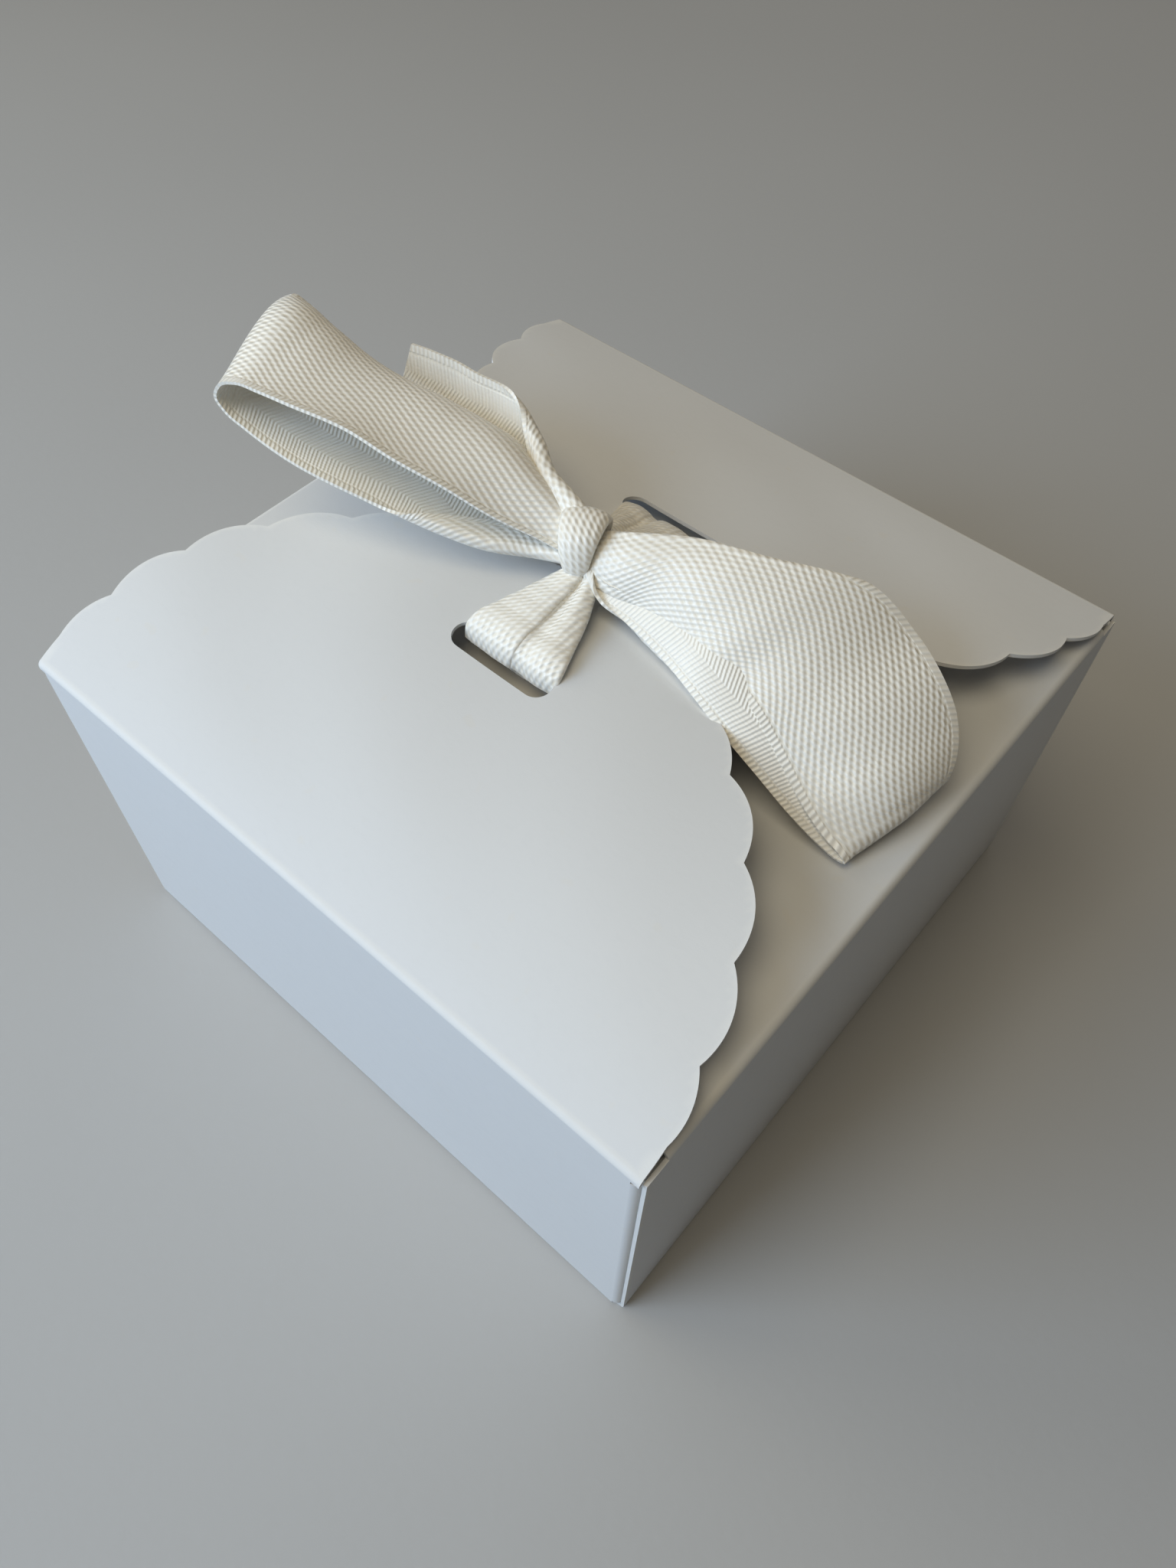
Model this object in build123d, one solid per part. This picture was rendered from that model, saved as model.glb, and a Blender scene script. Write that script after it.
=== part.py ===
"""Favor box: a square paperboard box whose two scalloped lids are tied shut by a ribbon bow.

Frame in millimetres: origin at the middle of the base, +Z up, front crease towards -Y.
"""
import math
import os

from build123d import *

# Board blank
box_size = 90.0            # outer width and depth of the square box
rim_height = 51.0          # base to the crease of the lids
board = 0.45               # thickness of the paperboard
fold_r = 1.0               # outer radius of every creased fold
half = box_size / 2
core = half - fold_r       # half size of the flat base inside the folds
crease_drop = 0.6 * fold_r   # fold centre below the crease height
fold_z = rim_height - crease_drop
crease_strip = 0.3         # straight board below the fold of a lid or flap

# Corner glue tabs
tab_reach = 11.0           # length of a tab along the side wall
tab_taper = 2.5            # slope cut off the tab at its free end
tab_relief = 0.6           # cut back of the tabs at the bottom and top folds
side_cut = 0.5             # side walls stop short of the front and back faces by this
front_half = half - board - fold_r   # half width of the flat front and back walls
side_half = half - side_cut

# Lids
lid_inset = 0.5            # lid crease stops short of the box corner
lid_half = half - lid_inset
lobe_count = 14            # scallops round one lid
lobe_centre = 1.0          # centre of the scallop circle above the crease
notch_inset = 1.4          # notches between the scallops, inside half the box size
lobe_rise = 1.2            # height of a scallop above its notches
notch_r = half - notch_inset
lobe_r = notch_r + lobe_rise
lid_length = lobe_centre + lobe_r
slot_back = 12.7           # tip of the lid to the far edge of its ribbon slot
slot_width = 3.6
slot_length = 13.6
slot_far = lid_length - slot_back
slot_near = slot_far - slot_width
front_start = 27.0         # slope of the front lid at its crease, degrees
front_end = -5.0           # slope of the front lid at its tip
back_start = 17.0
back_end = 10.0

# Dust flaps
flap_lap = 7.0             # each flap passes the middle of the box by this
flap_length = half + flap_lap
flap_inset = 3.6           # crease stops short of the box corner
flap_taper = 0.4           # side slope of the flap
flap_corner = 5.0
left_flap_tilt = 5.0       # the left flap lies over the right one
right_flap_tilt = 2.2

# Ribbon
ribbon_width = 20.0
ribbon = 0.5               # thickness of one ribbon layer
pleat = 0.8                # thickness of the pleated ribbon in the slots
gap = 0.3                  # clearance between neighbouring curved pieces
slot_play = 0.9            # ribbon to each end of its slot
leg_width = slot_length - 2 * slot_play   # ribbon drawn together in a slot
leg_waist = 6.4            # the same ribbon at the knot
leg_bend = 0.9             # bend of a leg over the edge of its slot
leg_foot = 1.4             # foot of a leg below the top face of the lid
leg_step = 0.8             # corner of a leg above the top face of the lid
run_bend = 0.5             # fold of the ribbon under a slot
run_drop = 2.0             # ribbon under the lids, below their top face at the slots
knot_length = 6.6          # along the loops
knot_depth = 7.8
knot_tall = 6.2
knot_rise = 5.75           # knot centre above the tip of the front lid
knot_shift = -0.8          # knot centre in front of the middle
knot_turn = 14.0           # slant of the knot, degrees
loop_reach = 0.47 * box_size   # knot to the end of a loop
right_bend = 2.2           # the two layers of a loop, apart at its end
left_bend = 3.6


def at(y, lift):
    """A point of the side profile, with the height taken from the crease."""
    return (y, rim_height + lift)


def arc_point(centre, radius, angle):
    return (centre[0] + radius * math.cos(math.radians(angle)),
            centre[1] + radius * math.sin(math.radians(angle)))


def bent_profile(low, low_size, high, high_size):
    """Wall section: a fold at the foot, the upright board, and a fold at the top."""
    inner = fold_r - board
    edges = []
    if low_size > 0:
        edges += [CenterArc(low, fold_r, 180, low_size), CenterArc(low, inner, 180, low_size)]
        edges.append(Line(arc_point(low, fold_r, 180 + low_size), arc_point(low, inner, 180 + low_size)))
    else:
        edges.append(Line(arc_point(low, fold_r, 180), arc_point(low, inner, 180)))
    if high_size > 0:
        start = 180 - high_size
        edges += [CenterArc(high, fold_r, start, high_size), CenterArc(high, inner, start, high_size)]
        edges.append(Line(arc_point(high, fold_r, start), arc_point(high, inner, start)))
    else:
        edges.append(Line(arc_point(high, fold_r, 180), arc_point(high, inner, 180)))
    edges.append(Line(arc_point(low, fold_r, 180), arc_point(high, fold_r, 180)))
    edges.append(Line(arc_point(low, inner, 180), arc_point(high, inner, 180)))
    return make_face(edges)


def wall(wall_half, crease_half, slope):
    """A wall in the place of the front one, with its foot fold and the fold of its lid."""
    foot = (-core, fold_r)
    top = (-core, fold_z)
    sheet = extrude(Plane.YZ * bent_profile(foot, 90, top, 0), wall_half, both=True)
    strip = bent_profile((-core, fold_z - crease_strip), 0, top, 90 - slope)
    return sheet + extrude(Plane.YZ * strip, crease_half, both=True)


def crease_point(slope):
    """Outer line of a fold where the lid or flap of this slope leaves it."""
    return arc_point((-core, fold_z), fold_r, 90 + slope)


class Bow:
    """Bowed side profile of a lid, from its crease towards the middle of the box."""

    def __init__(self, start, end):
        self.start = math.radians(start)
        self.turn = math.radians(start - end)
        self.radius = lid_length / self.turn
        self.y0, self.z0 = crease_point(start)

    def place(self, s):
        """Side and height of the top face at the length s from the crease."""
        a = self.start
        b = a - s / self.radius
        y = self.y0 + self.radius * (math.sin(a) - math.sin(b))
        z = self.z0 + self.radius * (math.cos(b) - math.cos(a))
        return y, z

    def under(self, s, depth):
        b = self.start - s / self.radius
        y, z = self.place(s)
        return y + depth * math.sin(b), z - depth * math.cos(b)

    def sheet(self):
        reach = lid_length + fold_r
        edges = [ThreePointArc(self.place(0), self.place(reach / 2), self.place(reach)),
                 ThreePointArc(self.under(0, board), self.under(reach / 2, board), self.under(reach, board)),
                 Line(self.place(0), self.under(0, board)),
                 Line(self.place(reach), self.under(reach, board))]
        return extrude(Plane.YZ * make_face(edges), half, both=True)


def lid(bow):
    """A bowed lid with its scalloped edge and ribbon slot, in the place of the front one."""
    def rim(radius, step):
        angle = math.pi * step / lobe_count
        s = lobe_centre + radius * math.sin(angle)
        return radius * math.cos(angle), bow.place(s)[0]

    first = (lid_half, bow.y0)
    last = (-lid_half, bow.y0)
    corners = [first] + [rim(notch_r, k) for k in range(1, lobe_count)] + [last]
    edges = [ThreePointArc(corners[k], rim(lobe_r, k + 0.5), corners[k + 1]) for k in range(lobe_count)]
    edges.append(Polyline(last, (-lid_half, bow.y0 - fold_r), (lid_half, bow.y0 - fold_r), first))
    outline = make_face(edges)
    slot_y = bow.place(slot_near + slot_width / 2)[0]
    outline -= Pos(0, slot_y) * SlotOverall(slot_length, slot_width)
    prism = extrude(Pos(0, 0, fold_z) * outline, lid_length / 2, both=True)
    return bow.sheet() & prism


def dust_flap(slope):
    """A plain tapered flap, in the place of the front one."""
    base = half - flap_inset
    tip = base - flap_taper * flap_length
    shape = make_face(Polyline((-base, 0), (base, 0), (tip, flap_length), (-tip, flap_length), close=True))
    ends = shape.vertices().sort_by(Axis.Y)[-2:]
    flat = extrude(fillet(ends, flap_corner), -board)
    y, z = crease_point(slope)
    return Pos(0, y, z) * Rot(slope, 0, 0) * flat


def tab():
    """Glue tab at the right end of the front wall: a corner fold, then a plate inside the side wall."""
    low = fold_r + tab_relief
    high = fold_z - crease_strip - tab_relief
    centre = (front_half, -core)
    inner = fold_r - board
    fold = make_face([CenterArc(centre, fold_r, 270, 90), CenterArc(centre, inner, 270, 90),
                      Line((front_half, -half), (front_half, -half + board)),
                      Line((front_half + inner, -core), (front_half + fold_r, -core))])
    column = extrude(Pos(0, 0, low) * fold, high - low)
    end = -core + tab_reach
    plate = make_face(Polyline((-core, low), (end, low + tab_taper), (end, high - tab_taper), (-core, high),
                               close=True))
    return column + extrude(Plane.YZ.offset(front_half + inner) * plate, board)


def strip(stations, thick, start=None, finish=None):
    """A ribbon through stations that give its two edges, with its directions at the ends."""
    middles = [(a + b) / 2 for a, b in stations]
    rails = [[], [], [], []]
    for k, (a, b) in enumerate(stations):
        along = middles[min(k + 1, len(middles) - 1)] - middles[max(k - 1, 0)]
        if k == 0 and start:
            along = start
        if k == len(stations) - 1 and finish:
            along = finish
        normal = along.cross(b - a).normalized() * (thick / 2)
        for rail, point in zip(rails, (a + normal, b + normal, b - normal, a - normal)):
            rail.append(point)
    curves = [Spline(*rail) for rail in rails]
    faces = [Face.make_surface_from_curves(curves[k], curves[(k + 1) % 4]) for k in range(4)]
    faces += [make_face(Polyline(*[rail[k] for rail in rails], close=True)).face() for k in (0, -1)]
    return Solid(Shell(faces)).fix()


def mark(reach, side, height):
    """A point of the bow, as shares of the loop's reach, the ribbon's width and the knot's height."""
    return Vector(loop_reach * reach, ribbon_width * side, rim_height + knot_lift * height)


def band(marks):
    return [(mark(*near), mark(*far)) for near, far in marks]


def loop(out, back, bend, inward):
    """A loop: the upper band, a round bend at its end, and the band back to the knot."""
    upper = band(out)
    near, far = upper[-1]
    across = (far - near).normalized()
    step = Vector(*inward)
    step = (step - across * step.dot(across)).normalized() * bend
    ahead = across.cross(step).normalized()
    if ahead.X * near.X < 0:
        ahead = ahead * -1
    lead = ahead * bend / 2
    upper.append((near + lead, far + lead))
    lower = [(near + lead + step, far + lead + step), (near + step, far + step)] + band(back)
    section = make_face([CenterArc((0, 0), (bend + ribbon) / 2, -90, 180),
                         CenterArc((0, 0), (bend - ribbon) / 2, -90, 180),
                         Line((0, (bend - ribbon) / 2), (0, (bend + ribbon) / 2)),
                         Line((0, -(bend - ribbon) / 2), (0, -(bend + ribbon) / 2))])
    bend_plane = Plane(near + lead + step / 2, x_dir=ahead, z_dir=across)
    round_end = extrude(bend_plane * section, (far - near).length)
    return strip(upper, ribbon, finish=ahead) + round_end + strip(lower, ribbon, start=ahead * -1)


def knot_shape(grow):
    """The wrapped knot: a barrel along the loops."""
    outline = Plane.YZ * Ellipse(knot_depth / 2 + grow, knot_tall / 2 + grow)
    barrel = extrude(outline, knot_length / 2 + grow, both=True)
    return Pos(0, knot_shift, rim_height + knot_lift) * Rot(0, 0, knot_turn) * barrel


def slot_hold(bow):
    """Middle of the ribbon in a slot, against the far edge, and the height of the lid there."""
    y, z = bow.place(slot_far)
    return y - gap - pleat / 2, z


def leg(bow, y_top):
    """Pleated ribbon out of a slot and over its far edge to the knot, tapered towards the knot."""
    y, z = slot_hold(bow)
    top = (y_top, rim_height + knot_lift - leg_bend)
    path = FilletPolyline((y, z - leg_foot), (y, z + leg_step), top, radius=leg_bend)
    sheet = extrude(Plane.YZ * trace(path, pleat), leg_width / 2, both=True)
    wide = leg_width / 2
    slim = leg_waist / 2
    end = y_top + pleat
    plan = make_face(Polyline((-wide, y - pleat), (wide, y - pleat), (wide, y + leg_bend), (slim, end),
                              (-slim, end), (-wide, y + leg_bend), close=True))
    return sheet & extrude(Pos(0, 0, rim_height) * plan, 2 * knot_lift)


def under_run(bow):
    """Pleated ribbon from a slot to the middle, below the lids."""
    y, z = slot_hold(bow)
    path = FilletPolyline((y, z - leg_foot), (y, z - run_drop), (-gap, z - run_drop), radius=run_bend)
    return extrude(Plane.YZ * trace(path, pleat), leg_width / 2, both=True)


front_bow = Bow(front_start, front_end)
back_bow = Bow(back_start, back_end)
knot_lift = front_bow.place(lid_length)[1] - rim_height + knot_rise

parts = {}
parts["base_panel"] = Pos(0, 0, board / 2) * Box(2 * core, 2 * core, board)
parts["front_wall"] = wall(front_half, lid_half, front_start)
parts["back_wall"] = Rot(0, 0, 180) * wall(front_half, lid_half, back_start)
parts["right_wall"] = Rot(0, 0, 90) * wall(side_half, half - flap_inset, right_flap_tilt)
parts["left_wall"] = Rot(0, 0, -90) * wall(side_half, half - flap_inset, left_flap_tilt)
parts["front_right_tab"] = tab()
parts["front_left_tab"] = mirror(tab(), Plane.YZ)
parts["back_right_tab"] = mirror(tab(), Plane.XZ)
parts["back_left_tab"] = Rot(0, 0, 180) * tab()
parts["front_lid"] = lid(front_bow)
parts["back_lid"] = Rot(0, 0, 180) * lid(back_bow)
parts["right_dust_flap"] = Rot(0, 0, 90) * dust_flap(right_flap_tilt)
parts["left_dust_flap"] = Rot(0, 0, -90) * dust_flap(left_flap_tilt)

parts["bow_knot"] = knot_shape(0)
knot_room = knot_shape(gap / 2)
knot_clear = knot_shape(gap)

right_out = [((0.05, -0.130, 0.918), (0.05, 0.090, 1.068)),
             ((0.21, -0.155, 1.041), (0.20, 0.150, 1.240)),
             ((0.40, -0.230, 1.115), (0.38, 0.320, 1.329)),
             ((0.57, -0.355, 1.060), (0.60, 0.530, 1.250)),
             ((0.71, -0.400, 0.860), (0.79, 0.580, 0.985)),
             ((0.81, -0.385, 0.540), (0.92, 0.520, 0.680)),
             ((0.88, -0.360, 0.300), (0.98, 0.455, 0.450))]
right_back = [((0.76, -0.380, 0.310), (0.82, 0.375, 0.410)),
              ((0.58, -0.380, 0.660), (0.59, 0.330, 0.725)),
              ((0.34, -0.285, 0.822), (0.34, 0.230, 0.852)),
              ((0.07, -0.130, 0.836), (0.07, 0.090, 0.880))]
left_out = [((-0.06, -0.140, 0.986), (-0.06, 0.040, 1.062)),
            ((-0.28, -0.365, 1.270), (-0.28, 0.080, 1.200)),
            ((-0.50, -0.555, 1.560), (-0.55, 0.060, 1.370)),
            ((-0.70, -0.705, 1.735), (-0.80, -0.030, 1.600)),
            ((-0.86, -0.790, 1.753), (-0.98, -0.060, 1.740))]
left_back = [((-0.77, -0.785, 1.410), (-0.89, 0.050, 1.370)),
             ((-0.58, -0.650, 1.190), (-0.67, 0.145, 1.090)),
             ((-0.33, -0.425, 0.935), (-0.36, 0.150, 0.915)),
             ((-0.09, -0.170, 0.836), (-0.09, 0.060, 0.880))]
left_tail = [((-0.07, -0.030, 1.171), (-0.07, 0.130, 1.110)),
             ((-0.14, 0.010, 1.300), (-0.15, 0.210, 1.115)),
             ((-0.28, 0.170, 1.497), (-0.28, 0.350, 0.985)),
             ((-0.49, 0.280, 1.610), (-0.54, 0.410, 0.790)),
             ((-0.73, 0.210, 1.562), (-0.80, 0.280, 0.740))]
right_tail = [((0.07, -0.080, 0.767), (0.07, 0.060, 0.781)),
              ((0.24, -0.180, 0.740), (0.24, 0.120, 0.767)),
              ((0.42, -0.250, 0.699), (0.42, 0.170, 0.733)),
              ((0.57, -0.290, 0.589), (0.58, 0.180, 0.630)),
              ((0.7, -0.300, 0.315), (0.74, 0.200, 0.370))]
parts["right_loop"] = loop(right_out, right_back, right_bend, (-0.7, 0, -0.7)) - knot_room
parts["left_loop"] = loop(left_out, left_back, left_bend, (0, 0, -1)) - knot_room
parts["left_tail"] = strip(band(left_tail), ribbon) - knot_room
parts["right_tail"] = strip(band(right_tail), ribbon) - knot_room

front_end_y = knot_shift - knot_depth / 2 + pleat
back_end_y = -knot_shift - knot_depth / 2 + pleat
parts["front_leg"] = leg(front_bow, front_end_y) - knot_room
parts["back_leg"] = Rot(0, 0, 180) * leg(back_bow, back_end_y) - knot_clear
parts["front_run"] = under_run(front_bow)
parts["back_run"] = Rot(0, 0, 180) * under_run(back_bow)

os.makedirs("parts", exist_ok=True)
for name, shape in parts.items():
    export_step(shape, f"parts/{name}.step")
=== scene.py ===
import math

import bpy
import numpy as np
from bpy.props import FloatProperty, FloatVectorProperty, IntProperty, PointerProperty
from bpy.types import Operator, Panel, PropertyGroup
from mathutils import Matrix, Vector


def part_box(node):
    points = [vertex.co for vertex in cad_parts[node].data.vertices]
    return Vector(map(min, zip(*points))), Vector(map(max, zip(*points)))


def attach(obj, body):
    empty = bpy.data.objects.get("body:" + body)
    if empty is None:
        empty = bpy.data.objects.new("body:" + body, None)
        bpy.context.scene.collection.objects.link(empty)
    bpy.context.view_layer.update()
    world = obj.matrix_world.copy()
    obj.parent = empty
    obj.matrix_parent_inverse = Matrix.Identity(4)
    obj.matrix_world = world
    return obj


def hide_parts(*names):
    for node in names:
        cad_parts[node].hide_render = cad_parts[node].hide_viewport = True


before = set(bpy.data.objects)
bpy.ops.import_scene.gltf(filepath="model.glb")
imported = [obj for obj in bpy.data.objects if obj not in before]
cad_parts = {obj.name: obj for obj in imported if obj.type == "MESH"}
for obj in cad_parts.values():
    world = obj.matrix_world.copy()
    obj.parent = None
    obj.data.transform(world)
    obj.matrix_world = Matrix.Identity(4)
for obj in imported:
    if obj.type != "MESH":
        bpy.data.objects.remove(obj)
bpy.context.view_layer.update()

bl_info = {
    "name": "Favor box with ribbon bow",
    "version": (1, 0, 0),
    "blender": (4, 5, 0),
    "location": "3D View > Sidebar > Favor box",
    "description": "Dresses the favor box: paperboard, scalloped lids, woven ribbon bow and the studio",
    "category": "Object",
}

MM = 0.001
TURN = 6.283             # one turn, in radians

# Sizes of the folded board, in millimetres.
FOLD_RISE = 0.29         # top of the front wall's fold above the crease of the lids
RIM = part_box("front_wall")[1][2] / MM - FOLD_RISE
CREASE_DROP = 0.6        # centre of a fold below the crease
CORE = 44.0              # middle of the box to the centre of a fold
LID_HALF = 44.5          # middle of a lid to the end of its crease
LOBE_CENTRE = 1.0        # crease to the centre of the scallop circle
LOBE_POINTS = 16         # points of the outline on one scallop
CUTTER_HALF = 5          # half the height of the scalloped cutter
BLANK = (94, 47)         # width and reach of the sheet that a lid is cut from
CREASE_BAND = (50.3, 50.8, 51.2, 51.7)   # heights at which the paler band of a lid's crease begins and ends: partly whitened fold, partly painted highlight
SIDE_BAND = (43.9, 44.3)                 # middle of the box to where that paler band begins and is full
CORNER_BAND = (43.7, 44.2)               # the same for the paler band of the upright corners: partly whitened fold, partly painted highlight

PANELS = ("base_panel", "front_wall", "back_wall", "right_wall", "left_wall", "front_right_tab",
          "front_left_tab", "back_right_tab", "back_left_tab", "right_dust_flap", "left_dust_flap")


class FavorBoxBoard(PropertyGroup):
    """The paperboard of the box."""
    thickness: FloatProperty(name="Board thickness", description="Thickness of the paperboard",
                             default=0.45 * MM, precision=5, unit="LENGTH", subtype="DISTANCE")
    colour: FloatVectorProperty(name="Board colour", description="Uncoated white face of the board",
                                default=(0.69, 0.693, 0.695), size=3, min=0, max=1, subtype="COLOR")
    core: FloatVectorProperty(name="Edge colour", description="Pulp that shows at cut and creased edges",
                              default=(0.80, 0.79, 0.76), size=3, min=0, max=1, subtype="COLOR")


class FavorBoxLids(PropertyGroup):
    """The two scalloped lids."""
    lobes: IntProperty(name="Scallops", description="Scallops round one lid", default=14, min=3)
    lobe_radius: FloatProperty(name="Scallop radius", description="Scallop circle to the top of a scallop",
                               default=44.8 * MM, precision=4, unit="LENGTH", subtype="DISTANCE")
    notch_radius: FloatProperty(name="Notch radius", description="Scallop circle to a notch",
                                default=43.6 * MM, precision=4, unit="LENGTH", subtype="DISTANCE")
    slot_length: FloatProperty(name="Slot length", description="Length of a ribbon slot",
                               default=13.6 * MM, precision=4, unit="LENGTH", subtype="DISTANCE")
    slot_width: FloatProperty(name="Slot width", description="Width of a ribbon slot",
                              default=3.6 * MM, precision=4, unit="LENGTH", subtype="DISTANCE")
    slot_reach: FloatProperty(name="Slot place", description="Crease to the near edge of a ribbon slot",
                              default=29.5 * MM, precision=4, unit="LENGTH", subtype="DISTANCE")
    front_start: FloatProperty(name="Front slope", description="Slope of the front lid at its crease",
                               default=math.radians(27), unit="ROTATION", subtype="ANGLE")
    front_end: FloatProperty(name="Front tip slope", description="Slope of the front lid at its tip",
                             default=math.radians(-5), unit="ROTATION", subtype="ANGLE")
    back_start: FloatProperty(name="Back slope", description="Slope of the back lid at its crease",
                              default=math.radians(17), unit="ROTATION", subtype="ANGLE")
    back_end: FloatProperty(name="Back tip slope", description="Slope of the back lid at its tip",
                            default=math.radians(10), unit="ROTATION", subtype="ANGLE")


class FavorBoxRibbon(PropertyGroup):
    """The woven ribbon."""
    width: FloatProperty(name="Ribbon width", description="Selvedge to selvedge, laid flat",
                         default=20 * MM, precision=4, unit="LENGTH", subtype="DISTANCE")
    thickness: FloatProperty(name="Ribbon thickness", description="Thickness of one layer",
                             default=0.36 * MM, precision=5, unit="LENGTH", subtype="DISTANCE")
    warp: FloatProperty(name="Warp pitch", description="Threads across the width", default=0.39 * MM,
                        precision=5, unit="LENGTH", subtype="DISTANCE")
    weft: FloatProperty(name="Weft pitch", description="Threads along the length", default=0.72 * MM,
                        precision=5, unit="LENGTH", subtype="DISTANCE")
    selvedge: FloatProperty(name="Selvedge", description="Width of the bound edge", default=1.1 * MM,
                            precision=5, unit="LENGTH", subtype="DISTANCE")
    colour: FloatVectorProperty(name="Thread colour", description="Raised satin threads",
                                default=(0.98, 0.948, 0.875), size=3, min=0, max=1, subtype="COLOR")
    # Painted shade: the colour between the threads, darker and warmer where shade falls in the weave's pits.
    valley_shade: FloatVectorProperty(name="Valley colour", description="Between the threads",
                                default=(0.88, 0.815, 0.69), size=3, min=0, max=1, subtype="COLOR")


class FavorBoxStage(PropertyGroup):
    """Floor, light and camera."""
    floor: FloatVectorProperty(name="Floor colour", description="Plain floor", default=(0.45, 0.447, 0.443),
                               size=3, min=0, max=1, subtype="COLOR")
    key: FloatProperty(name="Key power", description="Power of the low cool light", default=2.45, min=0,
                       unit="POWER")
    side: FloatProperty(name="Side power", description="Power of the light at the left", default=2.4, min=0,
                        unit="POWER")
    top: FloatProperty(name="Top power", description="Power of the warm light overhead", default=1.2, min=0,
                       unit="POWER")
    back: FloatProperty(name="Back power", description="Power of the faint light behind", default=0.6, min=0,
                        unit="POWER")
    lens: FloatProperty(name="Lens", description="Focal length", default=26.89, subtype="DISTANCE_CAMERA",
                        unit="CAMERA")


def start():
    """Leaves nothing selected and Blender in object mode."""
    if bpy.context.object and bpy.context.object.mode != "OBJECT":
        bpy.ops.object.mode_set(mode="OBJECT")
    bpy.ops.object.select_all(action="DESELECT")


def named(name):
    """The primitive just added, under its name."""
    piece = bpy.context.object
    piece.name = name
    piece.data.name = name
    return piece


def apply(piece, kind, **settings):
    """Adds a modifier to a piece and applies it."""
    modifier = piece.modifiers.new(kind.title(), kind)
    for key, value in settings.items():
        setattr(modifier, key, value)
    start()
    piece.select_set(True)
    bpy.context.view_layer.objects.active = piece
    bpy.ops.object.modifier_apply(modifier=modifier.name)


def smooth(piece, degrees):
    """Smooth shading with sharp edges past an angle."""
    start()
    piece.select_set(True)
    bpy.context.view_layer.objects.active = piece
    bpy.ops.object.shade_smooth_by_angle(angle=math.radians(degrees))


def copy_of(piece, name):
    """A copy of a piece with its own mesh."""
    copy = piece.copy()
    copy.data = piece.data.copy()
    copy.name = name
    copy.data.name = name
    bpy.context.collection.objects.link(copy)
    return copy


def points_of(piece):
    """The vertices of a piece, in millimetres."""
    points = np.empty(len(piece.data.vertices) * 3)
    piece.data.vertices.foreach_get("co", points)
    return points.reshape(-1, 3) / MM


def move_points(piece, points):
    """Puts every vertex of a piece at its new place, in millimetres."""
    piece.data.vertices.foreach_set("co", (points * MM).ravel())
    piece.data.update()


def note(piece, name, values):
    """Keeps a value or a vector of each vertex for the materials."""
    kind = "FLOAT_VECTOR" if values.ndim == 2 else "FLOAT"
    attribute = piece.data.attributes.new(name, kind, "POINT")
    attribute.data.foreach_set("vector" if values.ndim == 2 else "value", values.astype(float).ravel())


def ease(low, high, value):
    """Smooth step from 0 at low to 1 at high."""
    share = np.clip((value - low) / (high - low), 0, 1)
    return share * share * (3 - 2 * share)


class Socket:
    """An output of a material's node, whose arithmetic adds Math nodes."""

    def __init__(self, shader, output):
        self.shader = shader
        self.output = output

    def math(self, operation, *others):
        return self.shader.math(operation, self, *others)

    def __add__(self, other):
        return self.math("ADD", other)

    def __sub__(self, other):
        return self.math("SUBTRACT", other)

    def __mul__(self, other):
        return self.math("MULTIPLY", other)

    def __truediv__(self, other):
        return self.math("DIVIDE", other)

    def __rsub__(self, other):
        return self.shader.math("SUBTRACT", other, self)

    __radd__ = __add__
    __rmul__ = __mul__


class Shader:
    """A new material and the nodes that are added to it."""

    def __init__(self, name):
        self.material = bpy.data.materials.new(name)
        self.material.use_nodes = True
        self.tree = self.material.node_tree
        self.tree.nodes.clear()

    def node(self, kind, settings=None, inputs=None, output=0):
        node = self.tree.nodes.new(kind)
        for key, value in (settings or {}).items():
            setattr(node, key, value)
        for key, value in (inputs or {}).items():
            if isinstance(value, Socket):
                self.tree.links.new(value.output, node.inputs[key])
            else:
                node.inputs[key].default_value = value
        return Socket(self, node.outputs[output])

    def math(self, operation, *values):
        return self.node("ShaderNodeMath", {"operation": operation}, dict(enumerate(values)))

    def parts(self, vector):
        split = self.node("ShaderNodeSeparateXYZ", None, {0: vector})
        return [Socket(self, output) for output in split.output.node.outputs]

    def vector(self, x, y, z):
        return self.node("ShaderNodeCombineXYZ", None, {0: x, 1: y, 2: z})

    def noise(self, vector, scale, detail=2.0, roughness=0.5):
        return self.node("ShaderNodeTexNoise", None,
                         {"Vector": vector, "Scale": scale, "Detail": detail, "Roughness": roughness})

    def step(self, value, low, high):
        return self.node("ShaderNodeMapRange", {"interpolation_type": "SMOOTHSTEP"},
                         {"Value": value, "From Min": low, "From Max": high})

    def mix(self, share, first, second):
        colours = {6: first, 7: second}
        for key, colour in colours.items():
            if not isinstance(colour, Socket):
                colours[key] = (*colour[:3], 1.0)
        return self.node("ShaderNodeMix", {"data_type": "RGBA"}, {0: share, **colours}, 2)

    def bump(self, height, distance, strength=1.0, normal=None):
        inputs = {"Height": height, "Distance": distance, "Strength": strength}
        if normal:
            inputs["Normal"] = normal
        return self.node("ShaderNodeBump", None, inputs)

    def finish(self, surface):
        out = self.tree.nodes.new("ShaderNodeOutputMaterial")
        self.tree.links.new(surface.output, out.inputs["Surface"])
        return self.material


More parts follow.
